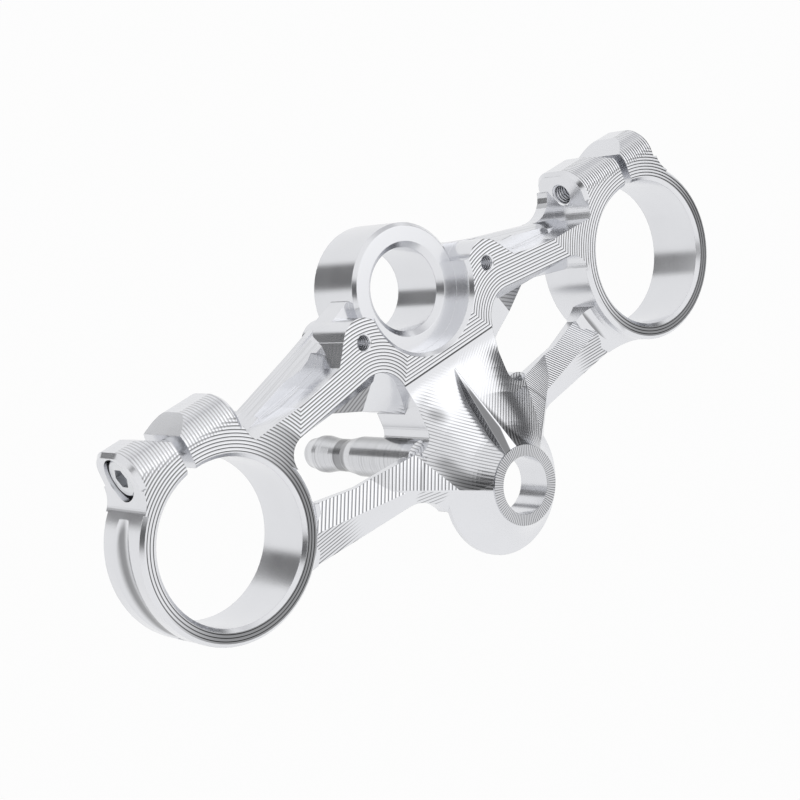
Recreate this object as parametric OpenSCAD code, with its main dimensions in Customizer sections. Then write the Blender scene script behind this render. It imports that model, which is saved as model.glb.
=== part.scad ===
// Upper triple clamp of a motorcycle fork, machined from one block, with its
// two pinch bolts and the two lock posts under the nose. Sizes are in mm.
// x runs along the clamp, y toward the pinch ears, z up along the stem.
// The shapes are drawn in the clamp frame, where the fork axes lie on y = 0
// and the machined top face is z = 0. Each node is then moved so that the
// origin is the steering axis at the underside of the clamp.

/* [Fork clamps] */
// Distance between the two fork tube axes
fork_gap = 209.5; // [206:0.5:213]
// Diameter of the fork tube
fork_d = 54; // [52:0.5:56]
// Wall of the ring round the fork tube
ring_wall = 5.9; // [5:0.1:7]
// Depth of the clamp along the fork tube
plate_t = 24.5; // [24:0.5:27]
// Chamfer on the edges of the rings
edge_c = 1.2; // [0.6:0.1:1.6]
// Width of the slit through the ears
slit_w = 3.5; // [2.5:0.1:4.5]
// How far the slit lies outboard of the fork axis
slit_out = 2.2; // [0:0.1:3]
// Depth of the leaf-shaped hollow in the outboard wall of each ring
leaf_cut = 1.6; // [0.8:0.1:2.4]

/* [Pinch ears] */
// Height of the ears over the line between the fork axes
ear_top = 42.5; // [40:0.5:45]
// Reach of an ear inboard of the fork axis
ear_in = 20.4; // [19:0.1:22]
// Reach of an ear outboard of the fork axis
ear_out = 20.2; // [19:0.1:22]
// Radius of the rounded front of the ears
ear_round = 9.5; // [7:0.5:11]
// Radius of the rounded rear edge of the ears
ear_back = 7; // [5:0.5:9]
// Chamfer on the end faces of the ears
ear_c = 1.4; // [0.8:0.1:2]
// Blend from the end faces of the ears into the ring
ear_blend = 10; // [8:0.5:12]
// Depth of the valley at the slit
valley_drop = 4.2; // [2:0.1:5]
// Width of one slope of the valley
valley_run = 7.2; // [5:0.1:8]
// Height of the pinch bolt over the line between the fork axes
bolt_y = 33.5; // [33:0.1:34]
// Depth of the pinch bolt below the top face
bolt_down = 12.4; // [11:0.1:14]

/* [Pinch bolts] */
// Diameter of the bolt's shank
bolt_d = 8; // [7.5:0.1:8]
// Core diameter of the bolt's thread
bolt_core = 6.7; // [6:0.1:6.7]
// Length of the bolt under its head
bolt_len = 25; // [23:0.5:28]
// Diameter of the bolt's head
head_d = 13; // [12:0.1:13.5]
// Height of the bolt's head
head_h = 8; // [7:0.1:8.5]
// Width of the hexagon socket across its flats
hex_af = 6; // [5:0.1:6.5]
// Depth of the hexagon socket
hex_deep = 4.4; // [3:0.1:5]
// Diameter of the counterbore for the bolt's head
cbore_d = 14.4; // [13.8:0.1:15]
// How far the bolt's head lies below the end face of the ear
head_sunk = 1; // [0.5:0.1:1.5]

/* [Steering stem] */
// How far the steering axis lies from the line between the fork axes
fork_offset = 36.7; // [36:0.1:38]
// Bore for the steering stem
stem_d = 28.8; // [27:0.1:30]
// Chamfer at the front of the stem bore
stem_c = 2; // [1:0.1:2.5]
// Diameter of the stem tower
tower_d = 45.6; // [44.5:0.1:47]
// Depth of the seat for the stem nut below the top face
seat_down = 8; // [7:0.1:9]
// Diameter of the round pocket over the seat
recess_d = 44; // [43:0.1:44.4]
// Chamfer round the pocket
recess_c = 1.3; // [0.8:0.1:1.6]
// Length of the spigot under the clamp
spigot_len = 7; // [4:0.5:10]
// Distance between the two tapped accessory holes
tap_gap = 60.6; // [59:0.1:62]
// Core diameter of the tapped accessory holes
tap_d = 5; // [4:0.1:5.5]
// How far the accessory holes lie in front of the steering axis
tap_ahead = 5.2; // [4.5:0.1:6]
// Radius of the boss round each accessory hole
boss_r = 8.4; // [8:0.1:9]

/* [Upper arms] */
// Front edge of the centre bar over the line between the fork axes
bar_low = 11; // [10:0.1:12]
// Front edge of the arm's flat top at its inner end
arm_in_low = 20.5; // [19.5:0.1:21.5]
// Front edge of the arm's flat top at the ring
arm_out_low = 16.5; // [16:0.1:17.5]
// Rear edge of the arm's flat top at its inner end
arm_in_up = 28.6; // [28:0.1:29.4]
// Rear edge of the arm's flat top at the ring
arm_out_up = 24.8; // [24:0.1:25.6]
// Half width of the centre bar between the window corners
bar_half = 22; // [21:0.1:23]
// Radius of the inner upper window corner at the top face
corner_r = 11; // [10:0.1:12]
// Rear edge of the lower web at its inner end
web_in = 35.1; // [34.5:0.1:36]
// Rear edge of the lower web at the ear
web_out = 27.7; // [27.2:0.1:28.7]
// Chamfer on the web's lower rear edge
web_c = 1.5; // [1:0.1:2]
// Depth of the web's upper edge below the top face
web_down = 12; // [11:0.1:13]
// Width of the groove along the arm
groove_w = 4.4; // [3.4:0.1:4.8]
// Depth of the groove below the web's upper edge
groove_deep = 2; // [1:0.1:3]

/* [Lower arms] */
// Front wall of the lower arms
front_y = -27.5; // [-28.5:0.1:-26.5]
// Edge of the window along the lower arm
sill_y = -12.3; // [-13:0.1:-11.5]
// Half width of the block between the windows
spine_half = 20.5; // [19.5:0.1:21.5]
// Radius of the lower inner window corner
sill_r = 6; // [4:0.5:7]
// Radius of the fillet from the lower arm up to the ring
ring_fillet = 7; // [5:0.5:8]
// Fall of the arm's underside over 100 mm of length
under_fall = 20.5; // [18:0.5:21]

/* [Nose] */
// How far the eye lies in front of the line between the fork axes
eye_ahead = 39.7; // [39:0.1:41]
// Bore of the eye
eye_d = 20.4; // [19:0.1:22]
// Diameter of the eye's flat rim
rim_d = 28.2; // [27:0.1:30]
// Height of the rim over the top face
eye_rise = 12.6; // [11:0.1:14]
// Diameter of the nose at its foot
base_d = 50.4; // [49:0.1:52]
// Thickness of the nose's edge
base_t = 1.8; // [1:0.1:2.4]
// Width of the spine where it meets the rim
spine_w = 6; // [4:0.1:7]

/* [Lock posts] */
// Distance between the two posts
post_gap = 49; // [48.5:0.1:50]
// How far the posts lie in front of the line between the fork axes
post_ahead = 16.6; // [16:0.1:17]
// Diameter of the upper part of a post
post_d = 14.3; // [13:0.1:14.4]
// Diameter of the post's neck
neck_d = 11.8; // [10:0.1:12.5]
// Diameter of the bead near the post's tip
bead_d = 13.6; // [12.6:0.1:14.2]
// Depth of the tapered shoulder below the top face
shoulder_down = 36.6; // [34:0.1:40]
// Depth of the post's tip below the top face
post_down = 68.4; // [64:0.1:72]

/* [Hidden] */
$fn = 96;
fork_x = fork_gap / 2;
bore_r = fork_d / 2;
ring_r = bore_r + ring_wall;
ear_x0 = fork_x - ear_in;
ear_x1 = fork_x + ear_out;
slit_x = fork_x + slit_out;
over = 1;
reach = 160;
tap_y = fork_offset - tap_ahead;
tap_x = tap_gap / 2;
tap_len = 16;
eye_r = eye_d / 2;
rim_r = rim_d / 2;
base_r = base_d / 2;
base_z = 0.8;
post_x = post_gap / 2;
post_r = post_d / 2;
post_seat = 8;
pin_d = 8;
pin_len = 4;
fit_gap = 0.1;
seat_x = ear_x1 - head_sunk - head_h;
clear_d = bolt_d + 0.8;
thread_d = bolt_core + fit_gap;

// Corner points of the faceted gusset in the window's upper inner corner
top_p = [bar_half + 10, arm_in_low - 3.6, -3.5];
front_p = [bar_half + 15.1, arm_in_low - 11.2, -7];
inner_p = [bar_half + 7.5, arm_in_low - 15.4, -7.6];
outer_p = [bar_half + 25.1, arm_in_low - 6.5, -8.6];
// Two ends of the lower arm's crest, a point at the window and one in front
crest_out = [fork_x - 35.8, front_y + 9.7, -6.9];
crest_in = [fork_x - 59.8, front_y + 6.3, -3.7];
sill_p = [fork_x - 39, sill_y + 2.8, -9.7];
front_edge = [fork_x - 44.7, front_y, -7];
// Three points of the side face between the nose and the arm
fold_out = [33, front_y + 4, -0.3];
fold_in = [16, front_y - 4.5, 8.6];
fold_low = [28.7, front_y - 3.5, -0.8];

// Points on an arc round c from angle a0 to angle a1
function arc(c, r, a0, a1, n = 12) =
    [for (i = [0 : n]) c + r * [cos(a0 + (a1 - a0) * i / n), sin(a0 + (a1 - a0) * i / n)]];

// Points on a hollow fall from p out to q whose slope eases by the angle turn
function hollow(p, q, turn, n) =
    let (
        a = atan2(q[1] - p[1], q[0] - p[0]) - turn / 2 - 90,
        r = norm(q - p) / 2 / sin(turn / 2),
        c = p - r * [cos(a), sin(a)]
    ) arc(c, r, a, a + turn, n);

// The half space below the plane through three points
module below(p, q, r) {
    c = cross(q - p, r - p);
    n = c[2] < 0 ? -c : c;
    translate(p)
        rotate([0, atan2(norm([n[0], n[1]]), n[2]), atan2(n[1], n[0])])
            translate([-reach, -reach, -2 * reach])
                cube(2 * reach);
}

module slab(z0, z1) {
    translate([0, 0, z0])
        linear_extrude(z1 - z0)
            children();
}

module both_sides() {
    children();
    mirror([1, 0, 0])
        children();
}

module ring_wall_solid() {
    translate([fork_x, 0, 0])
        rotate_extrude()
            polygon([
                [0, -plate_t], [ring_r - edge_c, -plate_t], [ring_r, -plate_t + edge_c],
                [ring_r, -edge_c], [ring_r - edge_c, 0], [0, 0]
            ]);
}

// Profile of the ears seen along x, with both rounded edges
module ear_bar() {
    translate([ear_x0, 0, 0])
        rotate([90, 0, 90])
            linear_extrude(ear_x1 - ear_x0)
                polygon(concat(
                    [[0, -plate_t]],
                    arc([ear_top - ear_back, ear_back - plate_t], ear_back, -90, 0),
                    arc([ear_top - ear_round, -ear_round], ear_round, 0, 90),
                    [[0, 0]]
                ));
}

// Section of the cutter for a chamfer along an edge that lies at distance r
module chamfer_section(r) {
    polygon([[r - ear_c - over, -over], [r + over, -over], [r + over, ear_c + over]]);
}

// Cutter that leaves a chamfer round an end face at x = 0, material at x > 0
module end_chamfer() {
    run = 5;
    translate([0, ear_top - ear_round, -ear_round])
        rotate([90, 0, 90]) {
            rotate_extrude(angle = 90)
                chamfer_section(ear_round);
            rotate([90, 0, 0])
                linear_extrude(plate_t - ear_round - ear_back)
                    chamfer_section(ear_round);
            rotate([0, 0, 90])
                rotate([90, 0, 0])
                    translate([0, 0, -run])
                        linear_extrude(run)
                            chamfer_section(ear_round);
        }
    translate([0, ear_top - ear_back, ear_back - plate_t])
        rotate([90, 0, 90])
            rotate([0, 0, -90]) {
                rotate_extrude(angle = 90)
                    chamfer_section(ear_back);
                rotate([90, 0, 0])
                    linear_extrude(run)
                        chamfer_section(ear_back);
            }
}

// Concave blend between an end face at x = 0 and the ring centred at x = -reach_x
module ear_foot(reach_x) {
    far = ring_r + ear_blend;
    c = [ear_blend, sqrt(pow(far, 2) - pow(reach_x + ear_blend, 2))];
    a = atan2(c[1], c[0] + reach_x);
    slab(-plate_t, 0)
        polygon(concat([[-reach_x / 2, ring_r / 2]], arc(c, ear_blend, a + 180, 180), [[-over, c[1]]]));
}

module ears() {
    difference() {
        ear_bar();
        slab(-plate_t - over, over)
            polygon([
                [slit_x + slit_w / 2 + valley_run + valley_run / valley_drop, ear_top + over],
                [slit_x + slit_w / 2, ear_top - valley_drop],
                [slit_x - slit_w / 2, ear_top - valley_drop],
                [slit_x - slit_w / 2 - valley_run - valley_run / valley_drop, ear_top + over]
            ]);
        translate([ear_x0, 0, 0])
            end_chamfer();
        translate([ear_x1, 0, 0])
            mirror([1, 0, 0])
                end_chamfer();
    }
    translate([ear_x1, 0, 0])
        ear_foot(ear_out);
    translate([ear_x0, 0, 0])
        mirror([1, 0, 0])
            ear_foot(ear_in);
}

// Flat top of an upper arm with the boss, down to the underside
module arm_top() {
    corner_c = [bar_half + corner_r, arm_in_low - corner_r];
    slope = atan2(arm_out_low - arm_in_low, fork_x - ring_r - corner_c[0]);
    slab(-plate_t, 0) {
        polygon(concat(
            [[0, fork_offset], [0, bar_low]],
            arc(corner_c, corner_r, 180 - asin((bar_low - corner_c[1]) / corner_r), 90 + slope),
            [
                [fork_x - ring_r - 5, arm_out_low], [fork_x - ring_r + 6, arm_out_low - 2],
                [fork_x, 0], [fork_x, arm_out_up - 2], [fork_x - ring_r + 2, arm_out_up],
                [tap_x + 33, arm_out_up + 0.4], [tap_x + 19.5, arm_in_up - 1.4],
                [tap_x + 13, arm_in_up], [tap_x + 9.7, arm_in_up + 4],
                [tap_x + 7.6, tap_y + 4], [tap_x, tap_y + 5]
            ]
        ));
        translate([tap_x, tap_y])
            circle(boss_r);
    }
}

// The lower web behind the arm, with its sloped rear and the groove
module arm_web() {
    web_x0 = tap_x + 15.6;
    web_x1 = fork_x - 31;
    foot = 7;
    lip = 2.4;
    tilt = atan2(web_out - web_in, web_x1 - web_x0);
    c = [ear_x0 - ear_blend,
        web_out + (ear_x0 - ear_blend - web_x1) * tan(tilt) + ear_blend / cos(tilt)];
    ear_y = ear_top - ear_back;
    difference() {
        slab(-plate_t, -web_down)
            polygon(concat(
                [[0, fork_offset], [tap_x, arm_in_low], [fork_x, 0], [fork_x, ear_y - 5],
                    [ear_x0 + over, ear_y]],
                arc(c, ear_blend, -asin(max(0, c[1] - ear_y) / ear_blend), tilt - 90, 8),
                [[web_x0, web_in], [tap_x + 2, web_in + 4.4], [tap_x - 8, web_in + 8],
                    [0, web_in + 8]]
            ));
        difference() {
            slab(-web_down - foot, over)
                polygon([
                    [ear_x0 + 2, web_out - lip - 1 + (ear_x0 + 2 - web_x1) * tan(tilt)],
                    [web_x0, web_in - lip - 1], [tap_x + 2, web_in + 1], [tap_x + 2, ear_top + 3],
                    [ear_x0 + 2, ear_top + 3]
                ]);
            below([web_x1, web_out - lip, -web_down], [web_x0, web_in - lip, -web_down],
                [web_x0, web_in, -web_down - foot]);
        }
        intersection() {
            below([web_x1, web_out, web_c - plate_t], [web_x0, web_in, web_c - plate_t],
                [web_x0, web_in - web_c, -plate_t]);
            translate([0, 0, -plate_t - over])
                cube([c[0] + ear_blend * sin(tilt), 2 * fork_offset, plate_t]);
        }
        slab(-web_down - groove_deep, over)
            polygon([
                [fork_x - 33, arm_out_up], [tap_x + 19.5, arm_in_up - 1.4],
                [tap_x + 13, arm_in_up], [tap_x + 9.7, arm_in_up + 4],
                [tap_x + 12, arm_in_up + 5.6],
                [tap_x + 15, arm_in_up + groove_w], [tap_x + 19.5, arm_in_up - 1.4 + groove_w],
                [fork_x - 33, arm_out_up + groove_w - 1]
            ]);
    }
}

// Gusset with two flat facets and the sloped edge of the arm's front
module gusset() {
    intersection() {
        slab(-plate_t, 0)
            polygon([
                [0, fork_offset], [0, 0], [spine_half, -1], [inner_p[0], inner_p[1]],
                [front_p[0], front_p[1]], [outer_p[0], outer_p[1]],
                [bar_half + 34, arm_in_low - 2.8], [tap_x, tap_y]
            ]);
        below(top_p, front_p, inner_p);
        below(top_p, outer_p, front_p);
    }
    intersection() {
        slab(-plate_t, 0)
            polygon([
                [tap_x, tap_y], [bar_half + 9, arm_out_low + 0.4],
                [fork_x - ring_r - 5, arm_out_low], [fork_x - ring_r, arm_out_up - 2]
            ]);
        below([fork_x - ring_r - 5, arm_out_low, 0], [bar_half + 11, arm_in_low, 0],
            [bar_half + 10.5, arm_in_low - 3.6, -3.5]);
    }
}

// Small fillet between the window's upper edge and the ring
module window_fillet() {
    r = 7;
    c = [fork_x - sqrt(pow(ring_r + r, 2) - pow(arm_out_low - r, 2)), arm_out_low - r];
    a = atan2(-c[1], fork_x - c[0]);
    slab(-plate_t, 0)
        polygon(concat(
            arc(c, r, a, 90),
            [[c[0], arm_out_low + 2], [fork_x - ring_r + 10, arm_out_low + 2]]
        ));
}

// Plan of the nose and a lower arm
module front_plan() {
    blend = 12;
    blend_c = [base_r + blend, -eye_ahead];
    far = [fork_x - sqrt(pow(ring_r + ear_blend, 2) - pow(front_y - ear_blend, 2)),
        front_y - ear_blend];
    far_a = atan2(-far[1], fork_x - far[0]);
    polygon(concat(
        [[0, bar_low], [bar_half, bar_low], [spine_half, bar_low - 9]],
        arc([spine_half + sill_r, sill_y + sill_r], sill_r, 180, 270),
        [
            [fork_x - 54, sill_y], [sill_p[0], sill_p[1]],
            [fork_x - ring_r + 2, sill_p[1] + 3.5], [fork_x, 0]
        ],
        arc(far, ear_blend, far_a, 90),
        arc(blend_c, blend, 90, 180),
        [[0, 5 - eye_ahead]]
    ));
}

// Turned shape round the eye's axis whose outline is given from the rim out
module turned_nose(outline, foot) {
    translate([0, -eye_ahead, 0])
        rotate_extrude()
            polygon(concat(
                [[0, foot], [0, eye_rise]],
                outline,
                [[outline[len(outline) - 1][0], foot]]
            ));
}

// Lobe that falls from the rim to the arm, first in a hollow, then straight
module lobe() {
    turned_nose(concat(
        hollow([rim_r - 0.5, eye_rise], [rim_r + 7.9, eye_rise - 7], 35, 8),
        [[rim_r + 44, eye_rise - 21.8]]
    ), -plate_t);
}

// Hollow fall from the rim to the centre bar
module saddle() {
    knee = [rim_r + 7, eye_rise - 7.2];
    turned_nose(concat(
        hollow([rim_r - 0.8, eye_rise], knee, 30, 6),
        hollow(knee, [rim_r + 30, eye_rise - 12.6], 26, 8),
        [[rim_r + 60, eye_rise - 13]]
    ), -plate_t);
}

module skirt() {
    turned_nose(concat(
        [[rim_r, eye_rise]],
        hollow([rim_r, eye_rise - 0.8], [base_r, base_z], 30, 9)
    ), base_z - base_t);
}

// Ring of material that rises from the lower arm to the ring's wall
module arm_fillet() {
    arm_z = -8.5;
    translate([fork_x, 0, 0])
        rotate_extrude()
            polygon(concat(
                [[bore_r + 1, -plate_t]],
                [[ring_r + ring_fillet, -plate_t]],
                arc([ring_r + ring_fillet, arm_z + ring_fillet], ring_fillet, 270, 180, 6),
                [[bore_r + 1, arm_z + ring_fillet]]
            ));
}

module front_side() {
    under_in = [0, 0, 0.2];
    under_out = [100, 0, 0.2 - under_fall];
    difference() {
        intersection() {
            slab(-plate_t, eye_rise - 0.2)
                front_plan();
            union() {
                intersection() {
                    below(crest_out, sill_p, crest_in);
                    below(crest_out, crest_in, front_edge);
                }
                intersection() {
                    lobe();
                    below(fold_out, fold_in, fold_low);
                }
                arm_fillet();
            }
        }
        below(under_in, under_out, under_in + [0, 50, 0]);
    }
}

// Block between the windows, from the underside to the hollow top
module centre_block() {
    intersection() {
        slab(-plate_t, eye_rise - 0.4)
            polygon(concat(
                [[-1, bar_low], [bar_half, bar_low], [spine_half, bar_low - 9]],
                arc([spine_half + sill_r, sill_y + sill_r], sill_r, 180, 270),
                [[spine_half + sill_r, sill_y - 2], [-1, sill_y - 2]]
            ));
        saddle();
    }
    intersection() {
        slab(base_z - base_t, eye_rise - 0.3)
            polygon([[-1, 0], [spine_half, 0], [spine_half, sill_y], [rim_r, 5 - eye_ahead],
                [-1, 3 - eye_ahead]]);
        saddle();
    }
}

// Narrow spine that climbs from the bar to the rim
module spine() {
    foot_y = bar_low - 5;
    rim_y = rim_r - eye_ahead - 2;
    intersection() {
        slab(-2, eye_rise - 0.1)
            polygon([[0, foot_y + 3], [spine_w / 2, rim_y], [-spine_w / 2, rim_y]]);
        below([0, foot_y, 0], [1, foot_y, 0], [0, rim_y + 1, eye_rise]);
    }
}

module tower() {
    translate([0, fork_offset, 0])
        rotate_extrude()
            polygon([
                [0, -plate_t - spigot_len], [tower_d / 2 - 0.6, -plate_t - spigot_len],
                [tower_d / 2, -plate_t - spigot_len + 0.6],
                [tower_d / 2, -seat_down - edge_c], [tower_d / 2 - edge_c, -seat_down],
                [0, -seat_down]
            ]);
}

module stem_cuts() {
    translate([0, fork_offset, 0]) {
        rotate_extrude()
            polygon([
                [0, -seat_down], [recess_d / 2, -seat_down], [recess_d / 2, -recess_c],
                [recess_d / 2 + recess_c + over, over], [0, over]
            ]);
        rotate_extrude()
            polygon([
                [0, -plate_t - spigot_len - over], [stem_d / 2, -plate_t - spigot_len - over],
                [stem_d / 2, -seat_down - stem_c],
                [stem_d / 2 + stem_c + over, -seat_down + over], [0, -seat_down + over]
            ]);
    }
}

module fork_cuts() {
    translate([fork_x, 0, 0])
        rotate_extrude()
            polygon([
                [0, -plate_t - over], [bore_r + edge_c + over, -plate_t - over],
                [bore_r, -plate_t + edge_c], [bore_r, -edge_c],
                [bore_r + edge_c + over, over], [0, over]
            ]);
    translate([slit_x - slit_w / 2, 0, -plate_t - over])
        cube([slit_w, ear_top + over, plate_t + 2 * over]);
}

module leaf_cuts() {
    shift = 5.6;
    tube = 12;
    half = 22;
    intersection() {
        translate([fork_x - shift, 0, -plate_t / 2])
            rotate_extrude()
                translate([ring_r - leaf_cut + shift + tube, 0])
                    circle(tube);
        translate([fork_x + half, -half, -plate_t])
            cube([half, 2 * half, plate_t]);
    }
}

module bolt_cuts() {
    translate([0, bolt_y, -bolt_down])
        rotate([0, 90, 0]) {
            translate([0, 0, seat_x])
                cylinder(d = cbore_d, h = head_h + head_sunk + 20);
            translate([0, 0, slit_x])
                cylinder(d = clear_d, h = seat_x - slit_x + over);
            translate([0, 0, ear_x0 - over])
                cylinder(d = thread_d, h = slit_x - ear_x0 + over);
            translate([0, 0, ear_x0 - over])
                cylinder(d1 = thread_d + 3.8, d2 = thread_d, h = 1.9);
        }
}

module tap_cuts() {
    translate([tap_x, tap_y, -tap_len])
        cylinder(d = tap_d, h = tap_len + over);
    translate([tap_x, tap_y, -0.5])
        cylinder(d1 = tap_d, d2 = tap_d + 3, h = 1.5);
}

module nose_cuts() {
    translate([0, -eye_ahead, -plate_t - over])
        cylinder(r = eye_r, h = plate_t + eye_rise + 2 * over);
    translate([0, -eye_ahead, -plate_t - over])
        cylinder(r = base_r + 0.8, h = plate_t + over + base_z - base_t);
}

module post_cuts() {
    translate([post_x, -post_ahead, -plate_t - over])
        cylinder(r = post_r + fit_gap, h = plate_t + over - post_seat);
    translate([post_x, -post_ahead, -post_seat - over])
        cylinder(d = pin_d + 0.04, h = pin_len + over + fit_gap);
}

module post_pads() {
    translate([post_x, -post_ahead, -post_seat])
        cylinder(r = post_r, h = 5);
}

module side_solid() {
    ring_wall_solid();
    ears();
    arm_top();
    arm_web();
    gusset();
    window_fillet();
    front_side();
    centre_block();
    post_pads();
}

module side_cuts() {
    fork_cuts();
    leaf_cuts();
    bolt_cuts();
    tap_cuts();
    post_cuts();
}

module clamp_body() {
    color([0.86, 0.87, 0.88])
        translate([0, -fork_offset, plate_t])
            difference() {
                union() {
                    both_sides()
                        side_solid();
                    tower();
                    skirt();
                    spine();
                }
                both_sides()
                    side_cuts();
                stem_cuts();
                nose_cuts();
            }
}

// Socket head screw along x, its head outboard
module bolt() {
    translate([seat_x, bolt_y, -bolt_down])
        rotate([0, 90, 0])
            difference() {
                rotate_extrude()
                    polygon([
                        [0, -bolt_len], [bolt_core / 2 - 0.8, -bolt_len],
                        [bolt_core / 2, 0.8 - bolt_len],
                        [bolt_core / 2, slit_x - seat_x + slit_w / 2],
                        [bolt_d / 2, slit_x - seat_x + slit_w / 2 + 0.6], [bolt_d / 2, 0],
                        [head_d / 2, 0], [head_d / 2, head_h - 0.6],
                        [head_d / 2 - 0.6, head_h], [0, head_h]
                    ]);
                translate([0, 0, head_h - hex_deep])
                    cylinder(d = hex_af / cos(30), h = hex_deep + over, $fn = 6);
            }
}

module pinch_bolts() {
    color([0.62, 0.63, 0.65])
        translate([0, -fork_offset, plate_t])
            both_sides()
                bolt();
}

// Turned post: pin, upper part, tapered shoulder, neck, bead and rounded tip
module post() {
    taper = 7.5;
    neck_r = neck_d / 2;
    bead_r = bead_d / 2;
    tip_r = 4.6;
    translate([post_x, -post_ahead, 0])
        rotate_extrude()
            polygon([
                [0, -post_down], [tip_r - 1, -post_down], [tip_r, 0.6 - post_down],
                [tip_r + 1, 2.2 - post_down], [tip_r + 1.3, 4.2 - post_down],
                [bead_r - 0.5, 6 - post_down], [bead_r, 8 - post_down],
                [bead_r, 10.5 - post_down], [bead_r - 0.4, 13 - post_down],
                [neck_r, 17 - post_down], [neck_r, -shoulder_down - taper],
                [post_r, -shoulder_down], [post_r, -post_seat],
                [pin_d / 2, -post_seat], [pin_d / 2, pin_len - post_seat], [0, pin_len - post_seat]
            ]);
}

module lock_posts() {
    color([0.8, 0.81, 0.82])
        translate([0, -fork_offset, plate_t])
            both_sides()
                post();
}

clamp_body();
pinch_bolts();
lock_posts();
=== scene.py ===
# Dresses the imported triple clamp: machined aluminium with its tool ridges, a
# white studio with cards to reflect, and the photograph's camera.
import bpy
import math
from mathutils import Matrix, Vector

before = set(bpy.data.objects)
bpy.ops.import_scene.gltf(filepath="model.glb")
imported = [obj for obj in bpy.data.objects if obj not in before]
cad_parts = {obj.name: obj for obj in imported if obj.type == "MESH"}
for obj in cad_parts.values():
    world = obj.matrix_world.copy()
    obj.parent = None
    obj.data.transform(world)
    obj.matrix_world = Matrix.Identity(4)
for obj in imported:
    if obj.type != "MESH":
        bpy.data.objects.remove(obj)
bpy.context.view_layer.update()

from types import SimpleNamespace

scene = bpy.context.scene

# The clamp's own frame is in mm, with its origin on the top face between the forks
MM = 0.001
MM_PER_M = 1000.0
ORIGIN_Y = 36.7
ORIGIN_Z = 24.5
FORK_X = 104.75
EYE_Y = -39.7


# A formula written as math nodes in the current node tree
class Expr:
    tree = None

    def __init__(self, sock):
        self.sock = sock

    def __add__(self, o): return op("ADD", self, o)
    def __radd__(self, o): return op("ADD", o, self)
    def __sub__(self, o): return op("SUBTRACT", self, o)
    def __rsub__(self, o): return op("SUBTRACT", o, self)
    def __mul__(self, o): return op("MULTIPLY", self, o)
    def __truediv__(self, o): return op("DIVIDE", self, o)


def new_node(kind):
    return Expr.tree.nodes.new(kind)


def link(source, sock):
    Expr.tree.links.new(source, sock)


def plug(value, sock):
    if isinstance(value, Expr):
        link(value.sock, sock)
    else:
        sock.default_value = value


def op(kind, *args):
    node = new_node("ShaderNodeMath")
    node.operation = kind
    for i, a in enumerate(args):
        plug(a, node.inputs[i])
    return Expr(node.outputs[0])


def lo(a, b): return op("MINIMUM", a, b)
def hi(a, b): return op("MAXIMUM", a, b)
def size(a): return op("ABSOLUTE", a)
def above(a, b): return op("GREATER_THAN", a, b)
def length(a, b): return op("SQRT", a * a + b * b)


# Soft step from 0 to 1 while v runs from a to b
def ramp(v, a, b):
    node = new_node("ShaderNodeMapRange")
    node.interpolation_type = "SMOOTHSTEP"
    plug(v, node.inputs[0])
    node.inputs[1].default_value = a
    node.inputs[2].default_value = b
    return Expr(node.outputs[0])


def fall(v, a, b):
    return 1.0 - ramp(v, a, b)


def between(v, a, b, soft=0.05):
    return ramp(v, a - soft, a + soft) * fall(v, b - soft, b + soft)


def pick(mask, a, b):
    return b + mask * (a - b)


def split(sock):
    node = new_node("ShaderNodeSeparateXYZ")
    link(sock, node.inputs[0])
    return [Expr(o) for o in node.outputs]


# Round-bottomed cuts, 0 in the middle of each and 1 on the crest between two
def scallops(phase, pitch):
    keep_positive = 100.0
    u = op("FRACT", phase / pitch + keep_positive) * 2.0 - 1.0
    return u * u


def noise(vec, scale, stretch=None):
    if stretch:
        mapping = new_node("ShaderNodeMapping")
        mapping.inputs["Scale"].default_value = stretch
        link(vec, mapping.inputs["Vector"])
        vec = mapping.outputs[0]
    node = new_node("ShaderNodeTexNoise")
    node.inputs["Scale"].default_value = scale
    node.inputs["Detail"].default_value = 3.0
    link(vec, node.inputs["Vector"])
    return Expr(node.outputs[0])


def object_coord():
    return new_node("ShaderNodeTexCoord").outputs["Object"]


def surface_normal():
    return split(new_node("ShaderNodeNewGeometry").outputs["Normal"])


# Makes a material whose node tree becomes the current one
def new_material(name):
    mat = bpy.data.materials.new(name)
    mat.use_nodes = True
    Expr.tree = mat.node_tree
    return mat, mat.node_tree.nodes["Principled BSDF"]


def relief(height):
    bump = new_node("ShaderNodeBump")
    bump.inputs["Strength"].default_value = 1.0
    bump.inputs["Distance"].default_value = MM
    plug(height, bump.inputs["Height"])
    return bump


def paint_metal(bsdf, tone, color, rough):
    mix = new_node("ShaderNodeCombineColor")
    for i in range(3):
        plug(tone * color[i], mix.inputs[i])
    link(mix.outputs[0], bsdf.inputs["Base Color"])
    bsdf.inputs["Metallic"].default_value = 1.0
    plug(rough, bsdf.inputs["Roughness"])


# Signed x, its distance from the middle, y and z, in mm in the clamp's own frame
def place(coord):
    x, y, z = split(coord)
    x = x * MM_PER_M
    return x, size(x), y * MM_PER_M + ORIGIN_Y, z * MM_PER_M - ORIGIN_Z


# Crease between a lobe and the skirt: a sloped line in x and y
CREASE_AT = (33.0, -23.5)
CREASE_SLOPE = 0.54


# What the body's masks are built from; ax is the normal's x away from the middle
def body_coords():
    sx, x, y, z = place(object_coord())
    nx, ny, nz = surface_normal()
    side = op("SIGN", sx)
    return SimpleNamespace(
        sx=sx, x=x, y=y, z=z, nx=nx, ny=ny, nz=nz, side=side, ax=nx * side,
        ring=length(x - FORK_X, y), eye=length(x, y - EYE_Y),
        crease=y - CREASE_AT[1] + (CREASE_AT[0] - x) * CREASE_SLOPE)


# Where the surface faces a direction, given as ax, ny and nz
def facing(p, direction, fit):
    a, b, c = direction
    return ramp(p.ax * a + p.ny * b + p.nz * c, *fit)


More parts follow.
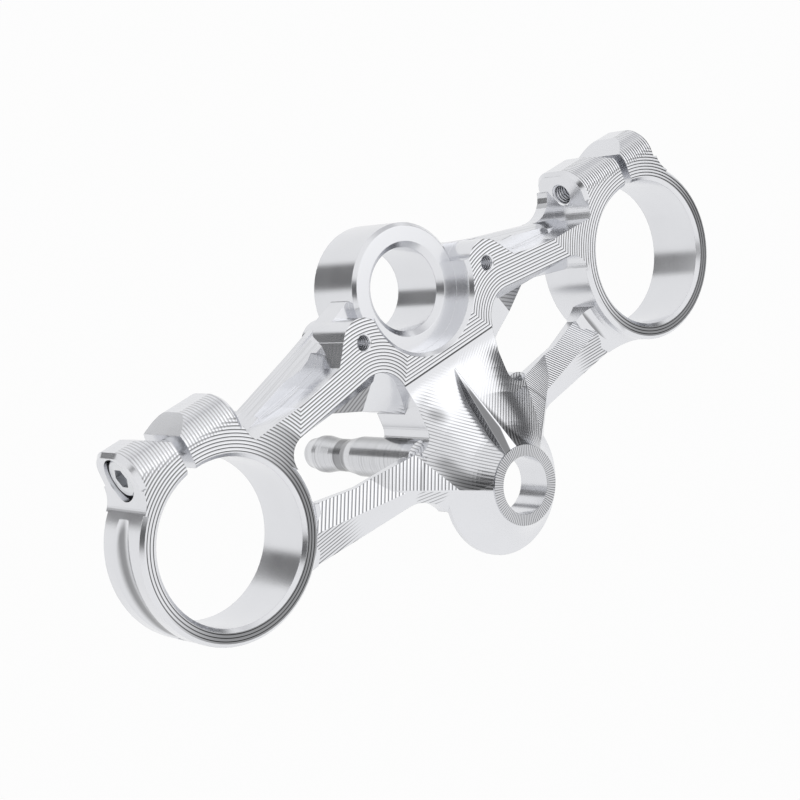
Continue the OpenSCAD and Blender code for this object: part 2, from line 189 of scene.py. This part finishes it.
# Soft steps that bound each pattern, in mm or as parts of the normal
TOP_Z = (-0.25, 0.25)
TOP_NORMAL = (0.9, 0.97)
BAR_Y = (10.4, 10.6)
BAR_END_X = (22.0, 23.0)
EAR_X = (84.5, 125.5)
EAR_Y = (33.0, 33.4)
EAR_Z = (-9.6, 0.1)
EAR_Y_NORMAL = (0.02, 0.1)
EAR_X_NORMAL = (0.3, 0.4)
FLAT_FIT = (0.996, 0.999)
ARM_FACE = (0.0759, 0.345, 0.9355)
ARM_X = (26.0, 27.0)
BAND_FACE = (0.1514, -0.149, 0.977)
BAND_X = (48.0, 66.0)
BAND_Y = (-12.0, -11.0)
NOSE_NORMAL = (0.25, 0.4)
NOSE_EYE = (62.0, 66.0)
NOSE_CREASE = (-0.4, 0.4)
NOSE_Y = (9.0, 12.0)
NOSE_Z = (12.3, 12.5)
NOSE_RING = (40.0, 42.0)
ROOT_X = (33.0, 33.2)
ROOT_Y = (-6.0, -5.0)
ROOT_SLOPE = 0.4
LOBE_EYE = (44.0, 52.0)
LOBE_X = (1.5, 5.0)
RIM_Z = (12.45, 12.55)


def body_areas(p):
    top = (between(p.z, *TOP_Z) * ramp(p.nz, *TOP_NORMAL)
           * hi(ramp(p.y, *BAR_Y), ramp(p.x, *BAR_END_X)))
    ear = (between(p.x, *EAR_X) * ramp(p.y, *EAR_Y) * between(p.z, *EAR_Z)
           * ramp(p.ny, *EAR_Y_NORMAL) * fall(size(p.nx), *EAR_X_NORMAL))
    arm_flat = facing(p, ARM_FACE, FLAT_FIT) * ramp(p.x, *ARM_X) * (1.0 - top)
    band = facing(p, BAND_FACE, FLAT_FIT) * ramp(p.x, *BAND_X) * fall(p.y, *BAND_Y)
    nose = (ramp(p.nz, *NOSE_NORMAL) * fall(p.eye, *NOSE_EYE) * ramp(p.crease, *NOSE_CREASE)
            * (1.0 - top) * (1.0 - arm_flat) * fall(p.y, *NOSE_Y) * fall(p.z, *NOSE_Z)
            * ramp(p.ring, *NOSE_RING))
    near = nose * fall(p.eye, *LOBE_EYE)
    outer = ramp(p.x - p.y * ROOT_SLOPE, *ROOT_X) * fall(p.y, *ROOT_Y)
    lobe = near * (1.0 - outer) * ramp(p.x, *LOBE_X)
    arm = hi(arm_flat, nose * outer)
    rim = ramp(p.z, *RIM_Z)
    ridged = lo(1.0, top + ear + arm + band + lobe + rim)
    return SimpleNamespace(top=top, ear=ear, arm=arm, band=band, nose=nose, lobe=lobe,
                           root=near * outer, rim=rim, ridged=ridged)


# Lines on the top face follow the bar, the windows' contour and the fork rings
CUT_PITCH = 1.12
BAR_LINE_Y = 11.0
RING_LINE_R = 41.0
WINDOW_AT = (33.0, 9.5)
WINDOW_RUN = (34.0, -4.0)
WINDOW_ROUND = 11.0


def line_field(p):
    run_x, run_y = WINDOW_RUN
    dx, dy = p.x - WINDOW_AT[0], p.y - WINDOW_AT[1]
    along = (dx * run_x + dy * run_y) / (run_x * run_x + run_y * run_y)
    along = hi(0.0, lo(1.0, along))
    corner = length(dx - along * run_x, dy - along * run_y) - WINDOW_ROUND
    return lo(lo(hi(p.y - BAR_LINE_Y, 0.0), corner), p.ring - RING_LINE_R)


# Directions across the cuts of the arms, the bands and the lobes
ARM_ACROSS = (0.703, 0.39, 0.664)
ARM_DENSITY = (1.1, 0.2)
BAND_ACROSS = 0.14
LOBE_ACROSS = (0.68, 0.73)
RIM_STEP = 2 * math.pi / 96


def cut_profile(p, a):
    arm_phase = p.x * ARM_ACROSS[0] + p.y * ARM_ACROSS[1] - p.z * ARM_ACROSS[2]
    arm_phase = arm_phase * (ARM_DENSITY[0] + p.side * ARM_DENSITY[1])
    angle = op("ARCTAN2", p.sx, p.y - EYE_Y)
    return (scallops(line_field(p), CUT_PITCH) * a.top
            + scallops(p.x, CUT_PITCH) * a.ear
            + scallops(arm_phase, CUT_PITCH) * a.arm
            + scallops(p.y + p.x * BAND_ACROSS, CUT_PITCH) * a.band
            + scallops(p.x * LOBE_ACROSS[0] - p.y * LOBE_ACROSS[1], CUT_PITCH) * a.lobe
            + scallops(angle, RIM_STEP) * a.rim)


# Tapped holes of the two bosses, along z, and of the inner ears, along x
TAP_AT = (30.3, 31.5)
TAP_R = (2.62, 2.75)
TAP_BELOW_Z = -0.05
SCREW_AT = (33.5, -12.4)
SCREW_R = (4.2, 4.4)
SCREW_START_X = (75.0, 76.0)
SCREW_END_X = (99.0, 100.0)
THREAD_PITCH = 1.25


def threads(p):
    tap = fall(length(p.x - TAP_AT[0], p.y - TAP_AT[1]), *TAP_R) * above(TAP_BELOW_Z, p.z)
    screw = (fall(length(p.y - SCREW_AT[0], p.z - SCREW_AT[1]), *SCREW_R)
             * ramp(p.x, *SCREW_START_X) * fall(p.x, *SCREW_END_X))
    return hi(tap, screw), scallops(pick(screw, p.x, p.z), THREAD_PITCH)


LOBE_LEAN, ROOT_LEAN, SADDLE_LEAN = 0.3, 0.2, 0.3
LOBE_LEAN_X = (11.0, 21.0)
SADDLE_START_Y = (-12.0, -4.0)
SADDLE_END_Y = (0.0, 10.5)
SADDLE_NORMAL = (0.95, 0.998)


# How far the normal leans: lobes toward the windows, arm roots back, saddle down
def leaning_normal(p, a, bump):
    tilt = a.lobe * ramp(p.x, *LOBE_LEAN_X) * LOBE_LEAN - a.root * ROOT_LEAN
    saddle = (a.nose * fall(p.y, *SADDLE_END_Y) * ramp(p.nz, *SADDLE_NORMAL)
              * ramp(p.y, *SADDLE_START_Y) * SADDLE_LEAN)
    lean = new_node("ShaderNodeCombineXYZ")
    plug(tilt * p.side, lean.inputs[0])
    plug(saddle, lean.inputs[1])
    added = new_node("ShaderNodeVectorMath")
    added.operation = "ADD"
    link(bump.outputs[0], added.inputs[0])
    link(lean.outputs[0], added.inputs[1])
    unit = new_node("ShaderNodeVectorMath")
    unit.operation = "NORMALIZE"
    link(added.outputs[0], unit.inputs[0])
    return unit.outputs[0]


# Half width of the spine grows toward the eye, and its left flank swells there
SPINE_START_Y = 9.0
SPINE_SLOPE = 0.082
SWELL_START_Y = -18.0
SWELL_SLOPE = 0.3
SWELL_LEAST = 0.45
SPINE_DARK_START_Y = (-31.0, -28.0)
SPINE_DARK_END_Y = (-4.0, 4.0)
SPINE_LEAST_Z = -1.0
FLANK_FOOT = (-0.6, 0.4)
FLANK_CREST = (-0.4, 0.1)
WALL_CREST = (0.1, 0.6)
WALL_FOOT = (-0.4, 1.6)
WALL_SPREAD = 0.2
WALL_HALF = (0.7, 1.0)
FLANK_DARK, WALL_DARK = 0.75, 0.7


# Painted dark reflections on the left flank and right wall of the spine
def spine_painted_reflection(p, a):
    half = hi(0.0, SPINE_START_Y - p.y) * SPINE_SLOPE
    swell = hi(0.0, SWELL_START_Y - p.y) * SWELL_SLOPE + SWELL_LEAST
    reach = (ramp(p.y, *SPINE_DARK_START_Y) * fall(p.y, *SPINE_DARK_END_Y)
             * (1.0 - a.rim) * above(p.z, SPINE_LEAST_Z))
    flank = ramp(p.sx + half, *FLANK_FOOT) * fall(p.sx - half + swell, *FLANK_CREST) * reach
    wall = (ramp(p.sx - half, *WALL_CREST)
            * fall(p.sx - half + p.y * WALL_SPREAD, *WALL_FOOT)
            * reach * ramp(half, *WALL_HALF))
    return flank * FLANK_DARK, wall * WALL_DARK


FOLD_START = (-0.6, 0.4)
FOLD_END = (2.0, 9.0)
FOLD_START_X = (7.0, 11.0)
FOLD_END_X = (22.0, 27.0)
FOLD_BOTH, FOLD_MORE_LEFT = 0.6, 0.4
FOLD_DARK = 0.6


# Painted shade in the fold beside the crease, stronger on the left lobe
def fold_painted_shade(p, a):
    fold = (ramp(p.crease, *FOLD_START) * fall(p.crease, *FOLD_END)
            * ramp(p.x, *FOLD_START_X) * fall(p.x, *FOLD_END_X) * a.lobe
            * (FOLD_BOTH - p.side * FOLD_MORE_LEFT))
    return fold * FOLD_DARK


FAR_WAY = (0.5, 0.86)
FAR_DEPTH = (-14.0, 14.0)
FAR_R = (40.0, 41.5)
LEAF_R = (32.2, 32.7)
LEAF_LEAST_R = 29.0
LEAF_LEAST_X = FORK_X + 22.0
LEAF_Z = (-15.5, -11.0)
LEAF_SOFT = 1.5
FAR_DARK, LEAF_DARK = 0.62, 0.6


# Painted dark reflection on the far side of the ring tops, and painted shade in the leaf-shaped
# hollow in the rings' outer walls
def ring_reflection_and_shade(p, a):
    back = (p.sx - p.side * FORK_X) * FAR_WAY[0] - p.y * FAR_WAY[1]
    far = fall(p.ring, *FAR_R) * ramp(back, *FAR_DEPTH) * a.top
    leaf = (fall(p.ring, *LEAF_R) * above(p.x, LEAF_LEAST_X) * above(p.ring, LEAF_LEAST_R)
            * between(p.z, *LEAF_Z, LEAF_SOFT))
    return far * FAR_DARK, leaf * LEAF_DARK


GUSSET_FACE = (0.27, -0.25, 0.93)
GUSSET_FIT = (0.99, 0.996)
GUSSET_Z = (-13.0, -0.6)
GUSSET_LEAST_X = 28.0
GUSSET_LEAST_Y = 5.0
GUSSET_ACROSS = (0.5, 0.87)
GUSSET_CUT = (0.2, 0.8)
GUSSET_DARK, GUSSET_CUT_DARK = 0.45, 0.3
FILLET_FACE = (-0.55, -0.24, 0.8)
FILLET_FIT = (0.97, 0.99)
FILLET_LEAST_X = 60.0
FILLET_ACROSS = 0.4
FILLET_PITCH = 6.0
FILLET_CUT = (0.3, 0.9)
SKIRT_FACE = (0.57, -0.38, 0.73)
SKIRT_FIT = (0.96, 0.98)
SKIRT_AT = (29.2, -27.3)
SKIRT_R = (3.5, 5.5)
SKIRT_CUT = (0.3, 0.8)
FACET_PITCH = 1.3
FILLET_DARK, SKIRT_DARK = 0.6, 0.5


# Painted dark reflections on the milled facet of each gusset and in soft bands in the arms'
# fillet, and painted shade in short cuts on the skirt
def facet_reflection_and_shade(p):
    gusset_phase = p.x * GUSSET_ACROSS[0] + p.y * GUSSET_ACROSS[1]
    gusset_cuts = ramp(scallops(gusset_phase, FACET_PITCH), *GUSSET_CUT)
    gusset = (facing(p, GUSSET_FACE, GUSSET_FIT) * between(p.z, *GUSSET_Z)
              * above(p.y, GUSSET_LEAST_Y) * above(p.x, GUSSET_LEAST_X)
              * (GUSSET_DARK + gusset_cuts * GUSSET_CUT_DARK))
    fillet = (facing(p, FILLET_FACE, FILLET_FIT) * above(p.x, FILLET_LEAST_X)
              * ramp(scallops(p.x + p.y * FILLET_ACROSS, FILLET_PITCH), *FILLET_CUT))
    skirt = (facing(p, SKIRT_FACE, SKIRT_FIT)
             * fall(length(p.x - SKIRT_AT[0], p.y - SKIRT_AT[1]), *SKIRT_R)
             * ramp(scallops(p.y, FACET_PITCH), *SKIRT_CUT))
    return hi(gusset, hi(fillet * FILLET_DARK, skirt * SKIRT_DARK))


REFLECTION_PATCH_AT = (14.5, -4.5)
REFLECTION_PATCH_SQUEEZE = (0.39, 0.707)
REFLECTION_PATCH_R = (0.4, 3.6)
BORDER_X = 29.0
BORDER_WIDTH = (0.8, 4.5)
BORDER_Y = (-20.0, -15.0)
REFLECTION_PATCH_DARK, BORDER_DARK = 0.45, 0.4


# Two soft painted dark reflections on the left lobe: a patch, and a strip along the arm
def left_lobe_painted_reflection(p, a):
    left = 0.5 - p.side * 0.5
    u, v = p.x - REFLECTION_PATCH_AT[0], p.y - REFLECTION_PATCH_AT[1]
    reach = length((u + v) * REFLECTION_PATCH_SQUEEZE[0], (u - v) * REFLECTION_PATCH_SQUEEZE[1])
    reflection_patch = fall(reach, *REFLECTION_PATCH_R) * left * a.lobe
    border = (fall(size(p.x - p.y * ROOT_SLOPE - BORDER_X), *BORDER_WIDTH)
              * fall(p.y, *BORDER_Y) * left * a.lobe)
    return hi(reflection_patch * REFLECTION_PATCH_DARK, border * BORDER_DARK)


STREAK_NOISE = (0.45, 0.65)
STREAK_Y = (14.0, 17.0)
STREAK_LEAST_R = 36.0
STREAK_LEAST_X = 38.0
STREAK_END_X = (70.0, 76.0)
STREAK_NORMAL = (0.9, 0.97)
STREAK_DARK = 0.12


# Streaks on the steep rear webs
def web_streaks(p, a, fine):
    return (ramp(fine, *STREAK_NOISE) * (1.0 - a.ridged) * ramp(p.y, *STREAK_Y)
            * above(p.ring, STREAK_LEAST_R) * above(p.x, STREAK_LEAST_X)
            * fall(p.x, *STREAK_END_X) * fall(size(p.nz), *STREAK_NORMAL) * STREAK_DARK)


CREST_CUT = (0.26, 0.7)
CREST_DARK, TOP_MORE, LOBE_LESS, ARM_LESS, EAR_SHARE = 0.7, 0.14, 0.2, 0.15, 0.6


# The crest between two cuts gets painted shade, darker than the cuts
def crest_painted_shade(p, a, cuts, cuts_fade):
    strength = (CREST_DARK + a.top * TOP_MORE - a.lobe * LOBE_LESS
                - a.arm * (ARM_LESS + p.side * ARM_LESS))
    crest = ramp(cuts, *CREST_CUT) * a.ridged * (1.0 - a.ear * EAR_SHARE) * (1.0 - cuts_fade)
    return crest * strength


BODY_COLOR = (0.775, 0.782, 0.808)
BODY_ROUGH, BLOTCH_ROUGH, RIDGE_ROUGH = 0.16, 0.08, 0.04
BODY_BLOTCH, METAL_BLOTCH = 60.0, 150.0
BLOTCH_DARK, RIM_DARK, ARM_DARK = 0.05, 0.2, 0.04
BEVEL_R = 0.25 * MM
FINE_STRETCH = (20.0, 20.0, 1500.0)
FINE_HEIGHT = 0.004
CUT_HEIGHT, LOBE_CUT_LESS, RIM_CUT_LESS = 0.08, 0.04, 0.01
CUTS_FADE_Y = (-13.0, -4.0)
CUTS_FADE_X = (9.0, 17.0)
THREAD_HEIGHT = 0.3
THREAD_TONE, THREAD_CREST_DARK = 1.25, 0.5


def body_material():
    mat, bsdf = new_material("machined_aluminium")
    p = body_coords()
    a = body_areas(p)
    cuts = cut_profile(p, a)
    thread, turns = threads(p)
    fine = noise(object_coord(), 1.0, FINE_STRETCH)
    blotch = noise(object_coord(), BODY_BLOTCH)

    # Cuts and their painted crest shade fade out beside the spine, and cuts are shallower on the
    # lobes and the rim
    cuts_fade = a.lobe * ramp(p.y, *CUTS_FADE_Y) * fall(p.x, *CUTS_FADE_X)
    weave = cuts * (CUT_HEIGHT - a.lobe * LOBE_CUT_LESS - a.rim * RIM_CUT_LESS) * (1.0 - cuts_fade)
    bump = relief(weave + fine * FINE_HEIGHT * (1.0 - a.ridged)
                  + thread * turns * THREAD_HEIGHT)
    bevel = new_node("ShaderNodeBevel")
    bevel.samples = 4
    bevel.inputs["Radius"].default_value = BEVEL_R
    link(bevel.outputs[0], bump.inputs["Normal"])
    link(leaning_normal(p, a, bump), bsdf.inputs["Normal"])

    # Painted shade and dark reflections: hollows, facets and the eye rim first, then threads and
    # crests; then the streaks
    flank, wall = spine_painted_reflection(p, a)
    far, leaf = ring_reflection_and_shade(p, a)
    light = 1.0 - hi(hi(flank, hi(wall, leaf)), hi(fold_painted_shade(p, a), far)) - a.rim * RIM_DARK
    light = light * (1.0 - left_lobe_painted_reflection(p, a))
    # The arm at positive x is painted darker, as painted shade on that side
    light = light * (1.0 - a.arm * (ARM_DARK + p.side * ARM_DARK)) * (1.0 - facet_reflection_and_shade(p))
    # Threads are painted lighter, with painted shade on their crests
    light = pick(thread, THREAD_TONE - turns * THREAD_CREST_DARK, light)
    tone = (1.0 - crest_painted_shade(p, a, cuts, cuts_fade)) * light * (1.0 - web_streaks(p, a, fine))
    paint_metal(bsdf, tone - blotch * BLOTCH_DARK, BODY_COLOR,
                BODY_ROUGH + blotch * BLOTCH_ROUGH + a.ridged * RIDGE_ROUGH)
    return mat


# Painted dark reflections on the posts' two sides, in a fixed direction that fits the photo's
# view, and painted shade at their shoulder
POST_SIDE = (0.497, 0.868)
SHOULDER_START_Z = (-49.0, -48.0)
SHOULDER_END_Z = (-41.5, -40.5)
SIDE_NORMAL = (0.6, 1.0)
RING_NOISE = (0.5, 0.7)
SIDE_DARK, SHOULDER_DARK, RING_DARK = 0.55, 0.5, 0.2
LINE_HEIGHT = 0.006
METAL_BLOTCH_DARK = 0.08


# Smooth metal with fine lines; the last argument is 1 for the posts' painted dark sides and
# shoulder and their ring lines, 0 for none
def plain_metal(name, color, rough, lines, post_shade_and_rings=0.0):
    mat, bsdf = new_material(name)
    z = place(object_coord())[3]
    nx, ny, _ = surface_normal()
    fine = noise(object_coord(), 1.0, lines)
    blotch = noise(object_coord(), METAL_BLOTCH)
    link(relief(fine * LINE_HEIGHT).outputs[0], bsdf.inputs["Normal"])
    sides = ramp(size(nx * POST_SIDE[0] + ny * POST_SIDE[1]), *SIDE_NORMAL) * SIDE_DARK
    shoulder = ramp(z, *SHOULDER_START_Z) * fall(z, *SHOULDER_END_Z) * SHOULDER_DARK
    rings = ramp(fine, *RING_NOISE) * RING_DARK
    tone = (1.0 - blotch * METAL_BLOTCH_DARK) * (1.0 - sides * post_shade_and_rings)
    tone = tone * (1.0 - (shoulder + rings) * post_shade_and_rings)
    paint_metal(bsdf, tone, color, rough + blotch * BLOTCH_ROUGH)
    return mat


def dress(node, mat):
    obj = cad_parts[node]
    for slot in obj.material_slots:
        slot.material = mat
    if not obj.material_slots:
        obj.data.materials.append(mat)


BOLT_COLOR, BOLT_ROUGH, BOLT_LINES = (0.80, 0.81, 0.83), 0.26, (2600.0, 40.0, 40.0)
POST_COLOR, POST_ROUGH, POST_LINES = (0.70, 0.707, 0.73), 0.16, (40.0, 40.0, 1300.0)

dress("clamp_body", body_material())
dress("pinch_bolts", plain_metal("bolt_steel", BOLT_COLOR, BOLT_ROUGH, BOLT_LINES))
dress("lock_posts", plain_metal("turned_aluminium", POST_COLOR, POST_ROUGH, POST_LINES, 1.0))


# Camera solved from the photograph
CAM_RIGHT = Vector((0.69569303, -0.36899346, 0.61632381))
CAM_DOWN = Vector((-0.47905057, -0.87765413, 0.01528987))
CAM_AHEAD = Vector((0.53527728, -0.30588733, -0.78734438))
CAM_AT = Vector((-0.33833235, 0.14955293, 0.48384999))
SENSOR_MM = 36.0
PHOTO_PX = 800.0
FOCAL_PX = 1742.05


def set_matrix(obj, turn, centre):
    turn.translation = Vector(centre)
    obj.matrix_world = turn


def add_camera():
    data = bpy.data.cameras.new("camera")
    data.sensor_width = SENSOR_MM
    data.lens = FOCAL_PX * SENSOR_MM / PHOTO_PX
    data.clip_start = 0.01
    obj = bpy.data.objects.new("camera", data)
    scene.collection.objects.link(obj)
    turn = Matrix((CAM_RIGHT, -CAM_DOWN, -CAM_AHEAD)).transposed().to_4x4()
    set_matrix(obj, turn, CAM_AT)
    scene.camera = obj


add_camera()


# White surroundings: floor, world, and cards that the metal reflects
def facing_matrix(normal):
    return Vector(normal).to_track_quat("Z", "Y").to_matrix().to_4x4()


# 1 for camera, glossy and transmission rays, which see the surroundings as white
def white_mask():
    rays = new_node("ShaderNodeLightPath").outputs
    camera, glossy, through = (
        Expr(rays[name]) for name in ("Is Camera Ray", "Is Glossy Ray", "Is Transmission Ray"))
    return hi(camera, hi(glossy, through))


def plane(name, centre, normal, w, h):
    x, y = w / 2, h / 2
    mesh = bpy.data.meshes.new(name)
    mesh.from_pydata([(-x, -y, 0), (x, -y, 0), (x, y, 0), (-x, y, 0)], [], [(0, 1, 2, 3)])
    obj = bpy.data.objects.new(name, mesh)
    scene.collection.objects.link(obj)
    set_matrix(obj, facing_matrix(normal), centre)
    return obj


# Sends a glow of this colour to the output, mixed over another shader
def glow_over(shader, color, share):
    glow = new_node("ShaderNodeEmission")
    glow.inputs["Color"].default_value = color
    glow.inputs["Strength"].default_value = 1.0
    mixer = new_node("ShaderNodeMixShader")
    plug(share, mixer.inputs[0])
    link(shader.outputs[0], mixer.inputs[1])
    link(glow.outputs[0], mixer.inputs[2])
    link(mixer.outputs[0], Expr.tree.nodes["Material Output"].inputs[0])


WHITE = (1, 1, 1, 1)
FLOOR_Z = -0.60
FLOOR_SIZE = 60.0
FLOOR_COLOR = (0.9, 0.9, 0.9, 1)
FLOOR_GLOW = 0.9
WORLD_LIGHT = 0.85


def add_floor():
    floor = plane("floor", (0, 0, FLOOR_Z), (0, 0, 1), FLOOR_SIZE, FLOOR_SIZE)
    mat, bsdf = new_material("pale_floor")
    bsdf.inputs["Base Color"].default_value = FLOOR_COLOR
    bsdf.inputs["Roughness"].default_value = 0.8
    glow_over(bsdf, WHITE, white_mask() * FLOOR_GLOW)
    floor.data.materials.append(mat)


def add_world():
    world = bpy.data.worlds.new("studio")
    scene.world = world
    world.use_nodes = True
    Expr.tree = world.node_tree
    background = world.node_tree.nodes["Background"]
    background.inputs["Color"].default_value = WHITE
    strength = WORLD_LIGHT + white_mask() * (1.0 - WORLD_LIGHT)
    plug(strength, background.inputs["Strength"])


add_floor()
add_world()


# A card whose tone fades out toward its edges; only reflections show it
def card(name, centre, w, h, tone, soft):
    obj = plane(name, centre, -Vector(centre), w, h)
    mat, bsdf = new_material(name)
    Expr.tree.nodes.remove(bsdf)
    u, v, _ = split(object_coord())
    fade = (fall(size(u) / (w / 2), 1.0 - soft, 1.0)
            * fall(size(v) / (h / 2), 1.0 - soft, 1.0))
    clear = new_node("ShaderNodeBsdfTransparent")
    glow_over(clear, (tone, tone, tone * 1.02, 1), fade)
    obj.data.materials.append(mat)
    obj.visible_camera = False
    obj.visible_diffuse = False
    obj.visible_shadow = False


def toward(azimuth, elevation, distance):
    a = math.radians(azimuth)
    e = math.radians(elevation)
    return distance * Vector((math.cos(e) * math.cos(a), math.cos(e) * math.sin(a), math.sin(e)))


CARD_FAR = 0.9
LAMP_FAR = 1.2
LAMP_SIZE = 0.86
LAMP_WATT = 1.0

# Name, centre, width, height, tone and soft share of the edge
card("card_low", (-0.268, 0.33, -0.5625), 0.43, 0.19, 0.06, 0.4)
card("card_right", toward(4, 16, CARD_FAR), 0.85, 0.85, 0.13, 0.45)
card("card_rear", toward(56, 6, CARD_FAR), 0.7, 0.5, 0.68, 0.3)
card("card_left", toward(153, 33, CARD_FAR), 0.40, 0.96, 0.10, 0.4)


def add_lamp(name, centre):
    data = bpy.data.lights.new(name, "AREA")
    data.shape = "SQUARE"
    data.size = LAMP_SIZE
    data.energy = LAMP_WATT
    obj = bpy.data.objects.new(name, data)
    scene.collection.objects.link(obj)
    set_matrix(obj, facing_matrix(centre), centre)


add_lamp("lamp_top", toward(17, 56, LAMP_FAR))

scene.view_settings.view_transform = "Standard"
